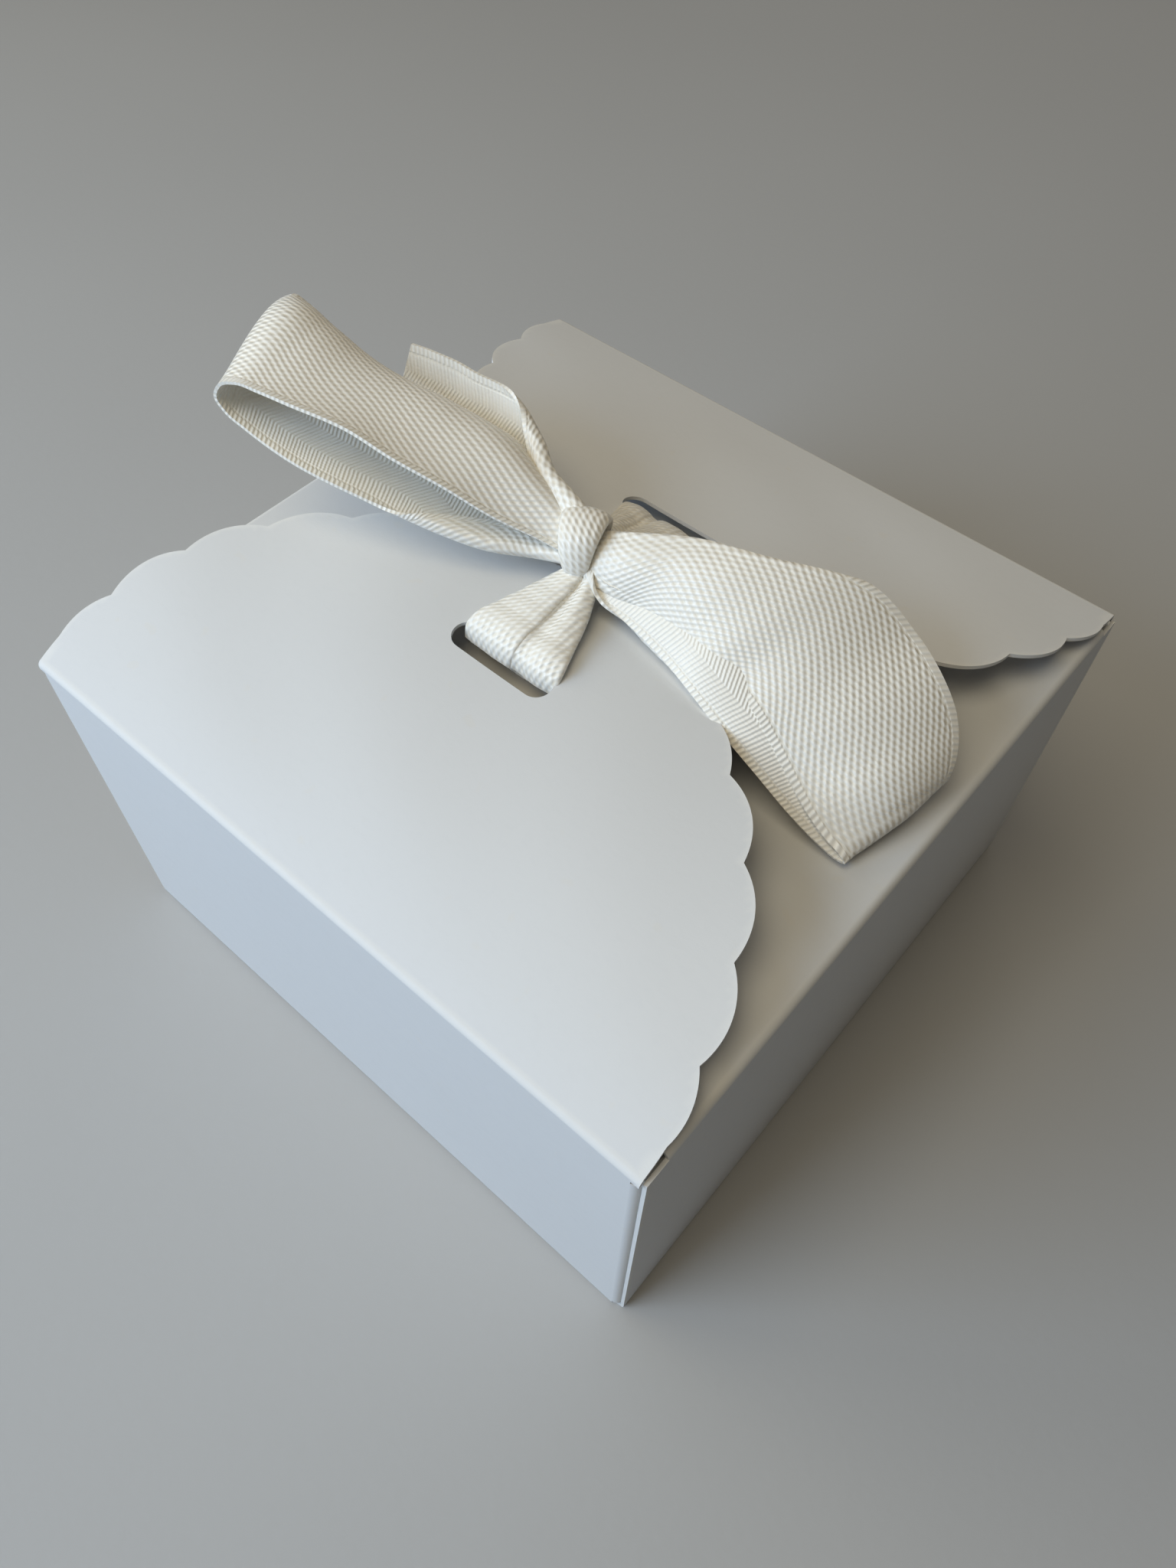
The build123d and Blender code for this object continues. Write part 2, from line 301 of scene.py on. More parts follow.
def board_material(board):
    """White paperboard: pulp mottle, fibre tooth, and paler worn creases and cut edges."""
    shader = Shader("white_paperboard")
    place = shader.node("ShaderNodeTexCoord", output="Object")
    x, y, z = shader.parts(place)
    cloud = shader.noise(place, 55, 3.0)
    fibre = shader.noise(shader.vector(x * 700, y * 1500, z * 1100), 1.0, 4.0, 0.65)
    tooth = shader.noise(place, 5200, 2.0)
    fleck = shader.step(shader.noise(place, 420, 1.0), 0.70, 0.78)

    low, full, fading, high = (height * MM for height in CREASE_BAND)
    lift = shader.step(z, low, full) * shader.step(z, high, fading)
    outer = x.math("ABSOLUTE").math("MAXIMUM", y.math("ABSOLUTE"))
    corner = x.math("ABSOLUTE").math("MINIMUM", y.math("ABSOLUTE"))
    crease = lift * shader.step(outer, SIDE_BAND[0] * MM, SIDE_BAND[1] * MM)
    crease = crease.math("MAXIMUM", shader.step(corner, CORNER_BAND[0] * MM, CORNER_BAND[1] * MM))
    cut = shader.node("ShaderNodeAttribute", {"attribute_name": "cut"}, output="Fac")
    wear_and_fold_highlight = crease.math("MAXIMUM", cut) * (0.55 + 0.45 * shader.noise(place, 900, 3.0))

    pale = shader.mix(0.5 + 0.5 * (cloud - 0.5), tuple(c * 0.975 for c in board.colour),
                      tuple(min(c * 1.02, 1) for c in board.colour))
    pale = shader.mix((fibre - 0.5) * 0.5, pale, tuple(c * 0.9 for c in board.colour))
    pale = shader.mix(fleck * 0.22, pale, (0.70, 0.67, 0.61))
    # Paler creases and corners: partly the board's whitened fold, partly a painted highlight along the fold;
    # cut edges show pale pulp.
    pale = shader.mix(wear_and_fold_highlight * 0.7, pale, board.core)
    rough = 0.5 + 0.14 * (fibre - 0.5) + 0.12 * wear_and_fold_highlight
    height = 0.55 * fibre + 0.3 * tooth + 0.25 * wear_and_fold_highlight * shader.noise(place, 2600, 2.0)
    normal = shader.bump(height, 0.05 * MM, 0.35)
    surface = shader.node("ShaderNodeBsdfPrincipled", None, {
        "Base Color": pale, "Roughness": rough, "Normal": normal, "Specular IOR Level": 0.35})
    return shader.finish(surface)


def ribbon_material(ribbon, name, twill):
    """Ivory ribbon: satin thread dots on the face, fine twill lines on the back, bound selvedges."""
    shader = Shader(name)
    weave = shader.node("ShaderNodeAttribute", {"attribute_name": "weave"}, output="Vector")
    place = shader.node("ShaderNodeTexCoord", output="Object")
    across, along, edge = shader.parts(weave)
    wander = shader.noise(shader.vector(across, along, 0.0), 0.55, 2.0)
    slub = shader.noise(shader.vector(across * 3.1, along * 0.22, 0.0), 1.0, 2.0)
    pick = shader.noise(shader.vector(across * 0.2, along * 2.4, 5.0), 1.0, 2.0)
    a = across / (ribbon.warp / MM) + 0.3 * (wander - 0.5)
    b = along / (ribbon.weft / MM) + 0.3 * (wander - 0.5)
    if twill:
        ridge = (across / 3.4).math("PINGPONG", 1.0)
        line = (TURN * (along / 0.5 + ridge * 2.6 + 0.4 * (wander - 0.5))).math("COSINE")
        height = 0.73 + 0.25 * line + 0.04 * (TURN * a).math("COSINE")
        lit = 0.92 + 0.16 * line
    else:
        dot = (math.pi * a).math("COSINE") * (math.pi * b).math("COSINE")
        height = 0.5 + 0.5 * dot
        lit = 0.75 * shader.step(dot, -1.0, 0.1) + 0.25 * height
    selvedge = shader.step(edge, ribbon.selvedge / MM, ribbon.selvedge / MM - 0.2)
    groove = shader.step((edge - ribbon.selvedge / MM).math("ABSOLUTE"), 0.26, 0.08)
    bead = 0.7 + 0.3 * (TURN * (along / 0.62 + edge * 0.5)).math("COSINE")
    height = height + selvedge * (bead - height)
    height = height * (1 - 0.45 * groove)

    # Painted shade and highlight: the tone rises on thread tops, twill ridges and the selvedge bead, falls in
    # the pits and the groove by each selvedge, and mixes the thread colour toward the valley shade.
    tone = (lit + selvedge * (bead - lit)) * (1 - 0.4 * groove)
    tone = tone + 0.16 * (slub - 0.5) + 0.16 * (pick - 0.5)
    thread = shader.mix(tone, ribbon.valley_shade, ribbon.colour)
    rough = 0.42 - 0.14 * height + 0.2 * (slub - 0.5)
    normal = shader.bump(height + 0.25 * (slub - 0.5), 0.2 * MM, 0.62)
    normal = shader.bump(shader.noise(place, 160, 2.0), 0.35 * MM, 0.2, normal)
    cloth = shader.node("ShaderNodeBsdfPrincipled", None, {
        "Base Color": thread, "Roughness": rough, "Normal": normal, "Specular IOR Level": 0.55,
        "Sheen Weight": 0.35, "Sheen Roughness": 0.35})
    glow = shader.node("ShaderNodeBsdfTranslucent", None, {"Color": thread, "Normal": normal})
    return shader.finish(shader.node("ShaderNodeMixShader", None, {0: 0.06, 1: cloth, 2: glow}))


class FAVORBOX_OT_board(Operator):
    """Gives the box's panels, tabs and dust flaps their paperboard"""
    bl_idname = "favorbox.board"
    bl_label = "Board panels"

    def execute(self, context):
        material = board_material(context.scene.favorbox_board)
        for name in PANELS:
            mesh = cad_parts[name].data
            mesh.materials.clear()
            mesh.materials.append(material)
        return {"FINISHED"}


class FAVORBOX_OT_lids(Operator):
    """Models the scalloped lid blank once, then bows a copy of it for the front and the back"""
    bl_idname = "favorbox.lids"
    bl_label = "Lids"

    def scallop(self, lids):
        """A prism with the plan of the lid's scalloped edge."""
        start()
        bpy.ops.mesh.primitive_circle_add(vertices=lids.lobes * 2 * LOBE_POINTS, radius=lids.lobe_radius,
                                          fill_type="NGON", location=(0, 0, 0))
        prism = named("lid_plan")
        points = points_of(prism)
        turn = np.degrees(np.arctan2(points[:, 1], points[:, 0])) % 360
        lobe = turn * lids.lobes / 180
        share = lobe % 1
        notch, top = lids.notch_radius / MM, lids.lobe_radius / MM
        radius = notch + (top - notch) * 4 * share * (1 - share)
        ends = np.minimum(np.abs((turn + 90) % 360 - 90), np.abs(turn - 180))
        radius = np.where(ends < 90 / lids.lobes, np.maximum(radius, LID_HALF), radius)
        points[:, 0] = radius * np.cos(np.radians(turn))
        points[:, 1] = LOBE_CENTRE + radius * np.sin(np.radians(turn))
        points[:, 2] = -CUTTER_HALF
        move_points(prism, points)
        bpy.ops.object.mode_set(mode="EDIT")
        bpy.ops.mesh.select_all(action="SELECT")
        bpy.ops.mesh.extrude_region_move(TRANSFORM_OT_translate={"value": (0, 0, 2 * CUTTER_HALF * MM)})
        bpy.ops.mesh.select_all(action="SELECT")
        bpy.ops.mesh.normals_make_consistent(inside=False)
        bpy.ops.object.mode_set(mode="OBJECT")
        return prism

    def slot(self, lids):
        """A round-ended block with the plan of the ribbon slot."""
        start()
        bpy.ops.mesh.primitive_cube_add(size=1.0, location=(0, 0, 0))
        block = named("slot_plan")
        size = np.array((lids.slot_length, lids.slot_width, 8 * MM)) / MM
        middle = np.array((0, (lids.slot_reach + lids.slot_width / 2) / MM, 0))
        move_points(block, points_of(block) * MM * size + middle)
        bpy.ops.object.mode_set(mode="EDIT")
        bpy.ops.mesh.select_all(action="DESELECT")
        bpy.ops.object.mode_set(mode="OBJECT")
        points = points_of(block)
        for edge in block.data.edges:
            first, second = points[edge.vertices[0]], points[edge.vertices[1]]
            edge.select = bool(abs(first[2] - second[2]) > 1)
        bpy.ops.object.mode_set(mode="EDIT")
        bpy.ops.mesh.select_mode(type="EDGE")
        bpy.ops.mesh.bevel(offset=lids.slot_width * 0.495, segments=10)
        bpy.ops.object.mode_set(mode="OBJECT")
        return block

    def blank(self, lids, board):
        """The flat lid: a fine sheet cut to its scallops and slot."""
        start()
        bpy.ops.mesh.primitive_grid_add(x_subdivisions=122, y_subdivisions=60, size=1.0, location=(0, 0, 0))
        sheet = named("lid_blank")
        points = points_of(sheet) * MM
        x, y = points[:, 0] * BLANK[0], (points[:, 1] + 0.5) * BLANK[1]
        move_points(sheet, np.column_stack((x, y, points[:, 2] * 0)))
        apply(sheet, "SOLIDIFY", thickness=board.thickness, offset=-1.0)
        for cutter, operation in ((self.scallop(lids), "INTERSECT"), (self.slot(lids), "DIFFERENCE")):
            apply(sheet, "BOOLEAN", object=cutter, operation=operation, solver="EXACT")
            bpy.data.objects.remove(cutter)
        return sheet

    def bow(self, piece, lids, first, last, turned):
        """Bends a flat lid up from its crease, with the slack of hand-folded board."""
        flat = points_of(piece)
        x, s, depth = flat.T
        length = LOBE_CENTRE + lids.lobe_radius / MM
        radius = length / (first - last)
        slope = first - s / radius
        y = -CORE + math.cos(math.pi / 2 + first) + radius * (math.sin(first) - np.sin(slope))
        z = RIM - CREASE_DROP + math.sin(math.pi / 2 + first) + radius * (np.cos(slope) - math.cos(first))
        slack = 0.16 * np.sin(x / 9.5 + 0.6) * np.sin(s / 8.0) + 0.1 * np.sin(x / 5.1 + s / 6.3)
        slack *= ease(2, 16, s)
        y = y - depth * np.sin(slope)
        z = z + depth * np.cos(slope) + slack
        move_points(piece, np.column_stack((-x, -y, z)) if turned else np.column_stack((x, y, z)))
        turn = np.arctan2(s - LOBE_CENTRE, x)
        share = (np.degrees(turn) * lids.lobes / 180) % 1
        rise = (lids.lobe_radius - lids.notch_radius) / MM
        edge = lids.notch_radius / MM + rise * 4 * share * (1 - share) - np.hypot(x, s - LOBE_CENTRE)
        note(piece, "cut", 1 - ease(0.05, 0.5, edge))
        smooth(piece, 40)

    def execute(self, context):
        lids, board = context.scene.favorbox_lids, context.scene.favorbox_board
        blank = self.blank(lids, board)
        material = bpy.data.materials["white_paperboard"]
        blank.data.materials.append(material)
        for body, first, last, turned in (("front_lid", lids.front_start, lids.front_end, False),
                                          ("back_lid", lids.back_start, lids.back_end, True)):
            piece = copy_of(blank, body + "_board")
            self.bow(piece, lids, first, last, turned)
            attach(piece, body)
            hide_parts(body)
        bpy.data.objects.remove(blank)
        return {"FINISHED"}


def through(knots, rows, where):
    """Values at `where` on a smooth curve through the rows at their knots."""
    slopes = np.gradient(rows, knots, axis=0)
    k = np.clip(np.searchsorted(knots, where, side="right") - 1, 0, len(knots) - 2)
    step = (knots[k + 1] - knots[k])[:, None]
    f = ((where - knots[k])[:, None]) / step
    first, second = rows[k], rows[k + 1]
    return ((2 * f ** 3 - 3 * f ** 2 + 1) * first + (f ** 3 - 2 * f ** 2 + f) * step * slopes[k]
            + (3 * f ** 2 - 2 * f ** 3) * second + (f ** 3 - f ** 2) * step * slopes[k + 1])


class Path:
    """A ribbon's way through stations that give its near edge, far edge and other values, in millimetres.

    Heights are above the crease of the lids. Outer is 1 or -1, the side of the cross product of the way
    and the edge-to-edge direction on which the ribbon's face lies.
    """

    def __init__(self, stations, outer):
        self.rows = np.array([[*near, *far, *more] for near, far, *more in stations], float)
        self.rows[:, (2, 5)] += RIM
        middle = (self.rows[:, :3] + self.rows[:, 3:6]) / 2
        self.knots = np.concatenate(([0], np.cumsum(np.linalg.norm(np.diff(middle, axis=0), axis=1))))
        self.outer = outer
        fine = np.linspace(0, self.knots[-1], 600)
        values = through(self.knots, self.rows, fine)
        middle = (values[:, :3] + values[:, 3:6]) / 2
        self.length = float(np.linalg.norm(np.diff(middle, axis=0), axis=1).sum())

    def at(self, v):
        """Middle, edge-to-edge direction, face direction, chord and other values at shares v of the way."""
        where = v * self.knots[-1]
        values = through(self.knots, self.rows, where)
        ahead = through(self.knots, self.rows, np.minimum(where + 0.05, self.knots[-1]))
        behind = through(self.knots, self.rows, np.maximum(where - 0.05, 0))
        way = (ahead - behind)[:, :3] + (ahead - behind)[:, 3:6]
        span = values[:, 3:6] - values[:, :3]
        chord = np.linalg.norm(span, axis=1)
        across = span / chord[:, None]
        face = np.cross(way, across) * self.outer
        face /= np.linalg.norm(face, axis=1)[:, None]
        return (values[:, :3] + values[:, 3:6]) / 2, across, face, chord, values[:, 6:].T


def turned_edges(width, curl, most=math.pi, skew=1.0):
    """Section of a ribbon drawn narrower than its width: arched, with the rest turned in at its edges.

    The path's other values are the arch, the near edge's share of what is turned in, and the part of the
    rest that is turned in. Skew moves the top of the arch towards the far edge."""
    def section(u, chord, more):
        arch, share, turned = more
        top = np.minimum(chord * (1 + 2.67 * (arch / chord) ** 2), width)
        rest = (width - top) * np.clip(turned, 0, 1)
        q = u * (top + rest)
        near, far = rest * share, rest * (1 - share)
        s = np.clip((q - near) / top, 0, 1)
        w = chord * (s - 0.5)
        n = arch * (1 - (2 * s ** skew - 1) ** 2)
        for side, past in ((-1, near - q), (1, q - near - top)):
            past = np.maximum(past, 0)
            turn = np.minimum(past / curl, most)
            run = np.maximum(past - most * curl, 0)
            w = w + side * (curl * np.sin(turn) + run * math.cos(most))
            n = n - curl * (1 - np.cos(turn)) - run * math.sin(most)
        return w, n
    return section


def pleats(profile):
    """Section of a pleated ribbon: a smooth line through points across the chord and above it.

    The path's other value is the depth of the pleats."""
    rows = np.array(profile, float)
    knots = np.concatenate(([0], np.cumsum(np.linalg.norm(np.diff(rows, axis=0), axis=1))))

    def section(u, chord, more):
        line = through(knots, rows, u * knots[-1])
        return line[:, 0] * chord, line[:, 1] * more[0]
    return section


def ribbon_piece(ribbon, name, path, section, cells, ripple=0.0, seed=0.0):
    """Lays a flat ribbon along a path with a section, then gives it its thickness."""
    start()
    bpy.ops.mesh.primitive_grid_add(x_subdivisions=cells[0], y_subdivisions=cells[1], size=1.0,
                                    location=(0, 0, 0))
    piece = named(name)
    flat = points_of(piece) * MM + 0.5
    u, v = flat[:, 0], flat[:, 1]
    middle, across, face, chord, more = path.at(v)
    w, n = section(u, chord, more)
    wave = np.sin(u * 5.1 + v * 17 + seed) * np.sin(v * 23 - u * 2.6 + 2 * seed)
    n = n + ripple * wave * np.minimum(1, 8 * v * (1 - v))
    points = middle + across * w[:, None] + face * n[:, None]
    move_points(piece, points)
    order = np.lexsort((u, v)).reshape(-1, cells[0] + 1)
    steps = np.linalg.norm(np.diff(points[order], axis=1), axis=2)
    reach = np.empty_like(u)
    reach[order] = np.concatenate((np.zeros((len(order), 1)), np.cumsum(steps, axis=1)), axis=1)
    edge = np.minimum(u, 1 - u) * ribbon.width / MM
    note(piece, "weave", np.column_stack((reach, v * path.length + 41 * seed, edge)))
    if path.outer > 0:
        bpy.ops.object.mode_set(mode="EDIT")
        bpy.ops.mesh.select_all(action="SELECT")
        bpy.ops.mesh.flip_normals()
        bpy.ops.object.mode_set(mode="OBJECT")
    for material in ("ribbon_face", "ribbon_back"):
        piece.data.materials.append(bpy.data.materials[material])
    apply(piece, "SOLIDIFY", thickness=ribbon.thickness, offset=0.0, material_offset=1)
    smooth(piece, 50)
    return piece


def declare(piece, body, node):
    """Makes a ribbon piece ride on its body and stand for its CAD node, as a sheet of this cut."""
    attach(piece, body)
    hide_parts(node)


class FAVORBOX_OT_ribbon_cloth(Operator):
    """Makes the two faces of the woven ribbon"""
    bl_idname = "favorbox.ribbon_cloth"
    bl_label = "Ribbon cloth"

    def execute(self, context):
        ribbon = context.scene.favorbox_ribbon
        ribbon_material(ribbon, "ribbon_face", False)
        ribbon_material(ribbon, "ribbon_back", True)
        return {"FINISHED"}


class FAVORBOX_OT_loops(Operator):
    """Models the two loops of the bow"""
    bl_idname = "favorbox.loops"
    bl_label = "Bow loops"

    RIGHT = [
        ((0.8, -2.4, 13.0), (0.4, 0.9, 15.6), 0.7, 0.5, 0.5),
        ((4.3, -2.4, 13.2), (3.6, 1.2, 17.0), 1.0, 0.5, 0.5),
        ((8.5, -1.8, 13.0), (10.0, 4.2, 18.2), 1.3, 0.2, 0.6),
        ((13.8, -2.2, 12.4), (17.4, 6.7, 18.6), 1.4, 0.1, 0.5),
        ((17.7, -3.1, 12.0), (22.6, 9.9, 17.9), 1.4, 0.0, 0.4),
        ((20.8, -2.9, 11.3), (27.1, 12.7, 16.4), 1.5, 0.0, 0.2),
        ((24.6, -3.7, 10.2), (32.1, 13.3, 13.7), 1.4, 0.0, 0.0),
        ((28.0, -4.6, 8.3), (37.0, 11.9, 11.4), 1.4, 0.0, 0.0),
        ((31.6, -5.6, 5.9), (40.4, 10.4, 8.6), 1.6, 0.0, 0.0),
        ((34.8, -6.5, 4.2), (42.2, 8.4, 6.4), 1.7, 0.0, 0.0),
        ((37.3, -6.9, 3.1), (42.7, 7.2, 4.9), 1.4, 0.0, 0.0),
        ((39.2, -7.1, 2.5), (42.6, 6.8, 3.9), 0.9, 0.0, 0.0),
        ((39.9, -7.2, 2.0), (42.0, 6.8, 3.1), 0.4, 0.0, 0.0),
        ((39.2, -7.3, 1.7), (40.6, 7.0, 2.9), 0.0, 0.0, 0.0),
        ((36.8, -7.4, 2.3), (38.4, 7.3, 3.9), -0.4, 0.0, 0.0),
        ((33.2, -7.4, 3.8), (34.6, 7.4, 6.2), -0.9, 0.0, 0.0),
        ((29.4, -7.2, 5.6), (30.0, 7.3, 9.0), -1.3, 0.0, 0.0),
        ((23.5, -6.8, 8.3), (23.6, 6.6, 12.2), -1.5, 0.0, 0.2),
        ((17.9, -5.7, 10.1), (17.8, 5.4, 14.0), -1.5, 0.0, 0.4),
        ((14.3, -4.7, 10.5), (14.2, 4.6, 14.4), -1.3, 0.0, 0.5),
        ((8.7, -3.8, 11.2), (8.6, 3.0, 14.2), -0.8, 0.0, 0.5),
        ((4.8, -3.1, 11.8), (4.6, 2.0, 13.8), -0.4, 0.1, 0.5),
        ((1.0, -1.8, 12.5), (1.0, 1.2, 13.4), 0.0, 0.4, 0.5)]
    LEFT = [
        ((-1.2, -2.2, 13.8), (-1.4, 0.6, 15.4), 0.8, 0.0, 0.4),
        ((-4.6, -3.8, 15.4), (-4.8, 1.2, 16.4), 1.2, 0.0, 0.4),
        ((-8.7, -6.1, 17.4), (-9.2, 2.2, 17.4), 1.6, 0.0, 0.4),
        ((-13.7, -8.4, 20.0), (-15.4, 3.6, 18.4), 2.0, 0.0, 0.4),
        ((-18.6, -10.4, 22.2), (-21.8, 3.0, 18.6), 2.4, 0.0, 0.3),
        ((-23.8, -11.9, 24.0), (-28.6, 1.7, 18.5), 2.8, 0.0, 0.2),
        ((-29.0, -13.8, 25.2), (-34.2, 1.0, 19.5), 3.0, 0.0, 0.0),
        ((-33.6, -15.0, 25.6), (-39.2, 0.5, 21.9), 2.8, 0.0, 0.0),
        ((-36.8, -15.6, 25.3), (-43.0, 0.1, 24.2), 2.2, 0.0, 0.0),
        ((-38.9, -16.0, 24.3), (-45.0, -0.2, 24.8), 1.2, 0.0, 0.0),
        ((-40.0, -16.3, 22.5), (-45.8, -0.2, 23.4), 0.6, 0.0, 0.0),
        ((-39.2, -16.1, 20.7), (-45.0, 0.2, 21.2), 0.4, 0.0, 0.0),
        ((-36.8, -15.7, 19.5), (-42.4, 0.6, 19.2), 0.4, 0.0, 0.0),
        ((-31.5, -15.3, 18.6), (-37.4, 0.9, 17.6), 0.3, 0.0, 0.0),
        ((-25.2, -14.0, 17.4), (-29.5, 1.8, 16.0), 0.3, 0.2, 0.0),
        ((-19.0, -11.2, 15.7), (-21.6, 2.6, 14.4), 0.3, 0.6, 0.2),
        ((-13.9, -8.8, 13.9), (-14.4, 2.6, 13.2), 0.3, 0.9, 0.5),
        ((-9.1, -6.1, 12.7), (-9.4, 2.0, 12.6), 0.3, 0.9, 0.5),
        ((-5.4, -3.5, 12.3), (-5.4, 1.2, 12.6), 0.3, 0.8, 0.3),
        ((-1.8, -1.9, 12.6), (-2.0, 0.6, 13.2), 0.2, 0.7, 0.2)]

    def execute(self, context):
        ribbon = context.scene.favorbox_ribbon
        for name, stations, outer, skew in (("right_loop", self.RIGHT, 1, 1.0),
                                            ("left_loop", self.LEFT, -1, 1.8)):
            path = Path(stations, outer)
            section = turned_edges(ribbon.width / MM, 0.7, skew=skew)
            piece = ribbon_piece(ribbon, name + "_ribbon", path, section, (56, 240), 0.12, float(outer))
            declare(piece, "front_lid", name)
        return {"FINISHED"}


class FAVORBOX_OT_tails(Operator):
    """Models the two cut ends of the ribbon"""
    bl_idname = "favorbox.tails"
    bl_label = "Ribbon tails"

    LEFT = [
        ((-1.4, 1.4, 16.2), (-1.4, 0.2, 14.2), 0.1, 0.6, 0.4),
        ((-4.2, 1.9, 16.9), (-4.2, 0.2, 14.6), 0.1, 0.6, 0.4),
        ((-8.0, 2.9, 17.6), (-8.0, 1.2, 14.4), 0.2, 0.6, 0.4),
        ((-11.4, 4.9, 18.6), (-11.0, 3.0, 14.0), 0.2, 0.5, 0.45),
        ((-14.6, 6.2, 19.6), (-15.0, 4.0, 13.2), 0.3, 0.3, 0.5),
        ((-18.4, 6.9, 20.7), (-19.4, 4.0, 12.4), 0.3, 0.1, 0.7),
        ((-22.6, 6.8, 21.3), (-24.0, 3.6, 11.8), 0.3, 0.0, 0.85),
        ((-26.6, 6.4, 21.6), (-28.2, 3.2, 11.4), 0.3, 0.0, 0.95),
        ((-29.6, 6.0, 21.6), (-31.4, 2.8, 11.2), 0.2, 0.0, 0.95),
        ((-32.4, 5.6, 21.4), (-34.4, 2.6, 11.2), 0.1, 0.0, 0.95)]
    RIGHT = [
        ((1.5, -1.4, 12.0), (1.5, 1.2, 12.0), 0.1, 0.5, 0.6),
        ((10.2, -3.2, 10.8), (10.2, 2.4, 11.0), 0.3, 0.5, 0.8),
        ((17.8, -4.6, 10.0), (17.8, 3.4, 10.4), 0.3, 0.5, 0.8),
        ((24.1, -5.4, 7.6), (24.5, 3.6, 8.2), 0.3, 0.5, 0.8),
        ((29.6, -5.6, 4.0), (31.3, 4.0, 4.6), 0.2, 0.5, 0.8)]

    def execute(self, context):
        ribbon = context.scene.favorbox_ribbon
        width = ribbon.width / MM
        path = Path(self.LEFT, -1)
        section = turned_edges(width, 0.8, 2.9)
        piece = ribbon_piece(ribbon, "left_tail_ribbon", path, section, (56, 110), 0.08, 3.0)
        declare(piece, "front_lid", "left_tail")
        path = Path(self.RIGHT, 1)
        section = turned_edges(width, 0.4)
        piece = ribbon_piece(ribbon, "right_tail_ribbon", path, section, (56, 100), 0.05, 4.0)
        declare(piece, "front_lid", "right_tail")
        return {"FINISHED"}


class FAVORBOX_OT_legs(Operator):
    """Models the pleated ribbon between the slots and the knot, and its run under each lid"""
    bl_idname = "favorbox.legs"
    bl_label = "Ribbon legs and runs"

    VALLEY = [(-0.1, -0.6), (-0.42, -0.5), (-0.53, -0.15), (-0.47, 0.25), (-0.3, 0.55), (-0.14, 0.8),
              (-0.04, 0.75), (0.03, 0.35), (0.09, 0.05), (0.16, 0.2), (0.23, 0.55), (0.33, 0.75),
              (0.44, 0.5), (0.52, 0.0), (0.45, -0.5), (0.15, -0.6)]
    LAPPED = [(-0.5, 0.0), (-0.2, 0.0), (0.15, 0.0), (0.24, 0.4), (0.15, 0.8), (-0.05, 0.75), (-0.14, 1.15),
              (-0.05, 1.5), (0.2, 1.5), (0.5, 1.5)]
    FRONT = [
        ((-5.6, -13.9, 7.4), (6.2, -13.7, 7.4), 0.4),
        ((-5.7, -13.5, 8.9), (6.4, -13.4, 8.9), 0.45),
        ((-5.4, -12.4, 9.9), (6.3, -12.3, 9.9), 0.55),
        ((-4.3, -9.8, 10.6), (5.4, -9.6, 10.4), 0.8),
        ((-3.1, -7.0, 11.3), (4.5, -6.8, 11.0), 1.0),
        ((-2.1, -4.9, 12.0), (3.7, -4.8, 11.6), 1.0),
        ((-1.3, -3.3, 12.6), (2.9, -3.2, 12.2), 0.9),
        ((-0.6, -2.0, 13.4), (1.7, -1.6, 13.2), 0.7)]
    BACK = [
        ((5.6, 13.4, 6.8), (-5.6, 13.4, 6.8), 0.5),
        ((5.7, 12.9, 8.4), (-5.7, 12.9, 8.4), 0.6),
        ((5.4, 11.8, 9.4), (-5.2, 11.8, 9.4), 0.8),
        ((4.4, 9.0, 10.2), (-4.4, 9.0, 10.2), 1.2),
        ((3.0, 6.0, 11.2), (-3.2, 6.0, 11.2), 1.5),
        ((1.8, 3.2, 12.4), (-2.4, 3.2, 12.4), 1.2),
        ((0.8, 1.4, 13.4), (-2.0, 1.4, 13.4), 0.8)]
    RUN_HALF = 5.9           # half the width of a folded run
    RUN_DROP = 1.3           # top of a run's place to its lowest layer
    RUN_DEPTH = 0.75         # depth of its folds
    RUN_ENDS = (0.4, 0.2)    # room left at its slot end and at its free end

    def execute(self, context):
        ribbon = context.scene.favorbox_ribbon
        for name, stations, body in (("front_leg", self.FRONT, "front_lid"),
                                     ("back_leg", self.BACK, "back_lid")):
            path = Path(stations, -1)
            piece = ribbon_piece(ribbon, name + "_ribbon", path, pleats(self.VALLEY), (72, 70), 0.05, 5.0)
            declare(piece, body, name)
        for name, body in (("front_run", "front_lid"), ("back_run", "back_lid")):
            low, high = (np.array(corner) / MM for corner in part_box(name))
            height = high[2] - RIM
            front = name == "front_run"
            first = (low[1] + self.RUN_ENDS[0]) if front else (high[1] - self.RUN_ENDS[0])
            last = (high[1] - self.RUN_ENDS[1]) if front else (low[1] + self.RUN_ENDS[1])
            side = 1 if front else -1
            stations = []
            for share in (0, 0.33, 0.66, 1):
                y = first + (last - first) * share
                near = (-self.RUN_HALF * side, y, height - self.RUN_DROP)
                far = (self.RUN_HALF * side, y, height - self.RUN_DROP)
                stations.append((near, far, self.RUN_DEPTH))
            path = Path(stations, -1)
            piece = ribbon_piece(ribbon, name + "_ribbon", path, pleats(self.LAPPED), (72, 50), 0.03, 6.0)
            declare(piece, body, name)
        return {"FINISHED"}


